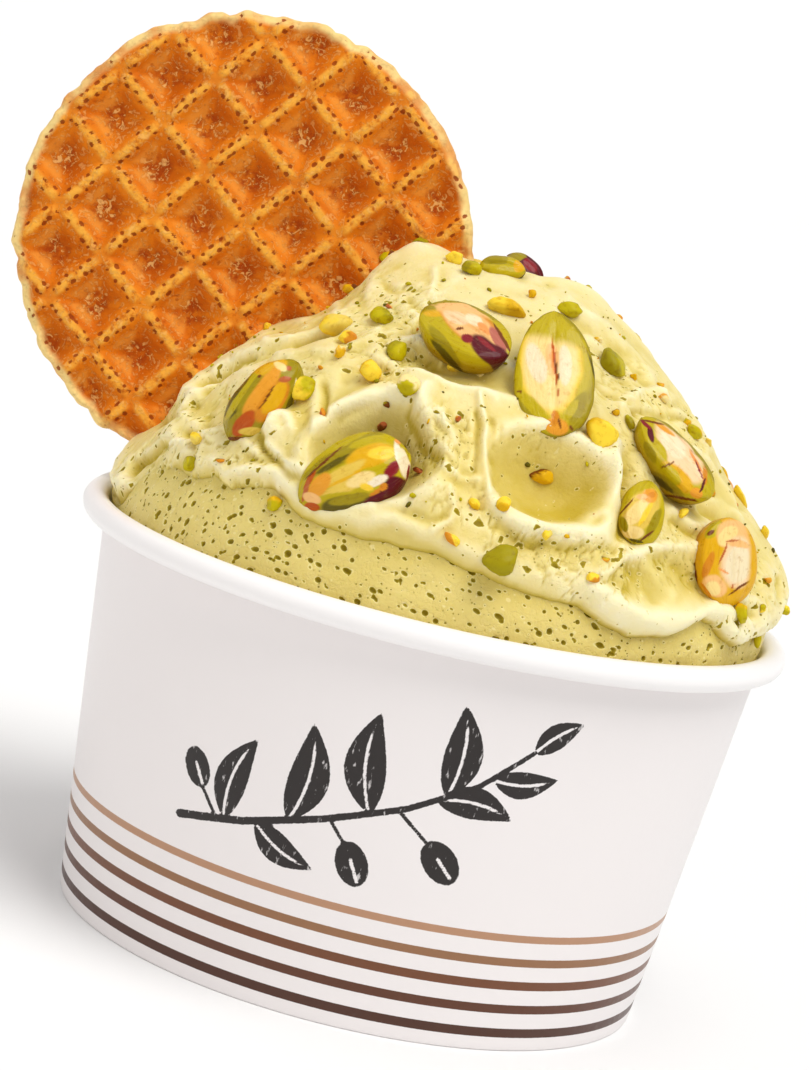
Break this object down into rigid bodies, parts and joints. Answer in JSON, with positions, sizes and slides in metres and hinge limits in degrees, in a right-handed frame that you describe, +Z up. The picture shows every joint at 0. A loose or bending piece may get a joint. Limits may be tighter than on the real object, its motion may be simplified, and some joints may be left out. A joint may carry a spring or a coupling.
{
  "type": "gelato cup",
  "caption": "Round paper cup with a rolled rim, heaped with scooped pistachio gelato, a round waffle wafer stuck in it and shelled pistachios on top.",
  "frame": {"origin": "centre of the bounding box at the height the foot ring stands on; the cup's own axis stands 8.8 mm towards +X, because the wafer reaches out towards -X", "axes": "+Z up along the cup's axis, -Y the side shown, -X the side the wafer leans out to"},
  "size_m": [0.1136, 0.096, 0.1184],
  "materials": {
    "cup_paper": "coated white paper board, satin, printed with five brown stripes",
    "base_paper": "coated white paper board, satin",
    "gelato": "creamy frozen gelato, soft satin, with small air holes",
    "wafer": "crisp baked waffle, matte with a slight fat sheen",
    "pistachio": "shelled pistachio kernel, satin"
  },
  "bodies": {
    "root": {"cup_wall": "cup_paper", "cup_base": "base_paper", "gelato": "gelato", "wafer": "wafer", "pistachio_01": "pistachio", "pistachio_02": "pistachio", "pistachio_03": "pistachio", "pistachio_04": "pistachio", "pistachio_05": "pistachio", "pistachio_06": "pistachio", "pistachio_07": "pistachio", "pistachio_08": "pistachio", "pistachio_09": "pistachio", "pistachio_10": "pistachio", "pistachio_11": "pistachio", "pistachio_12": "pistachio", "pistachio_13": "pistachio", "pistachio_14": "pistachio"}
  },
  "joints": []
}
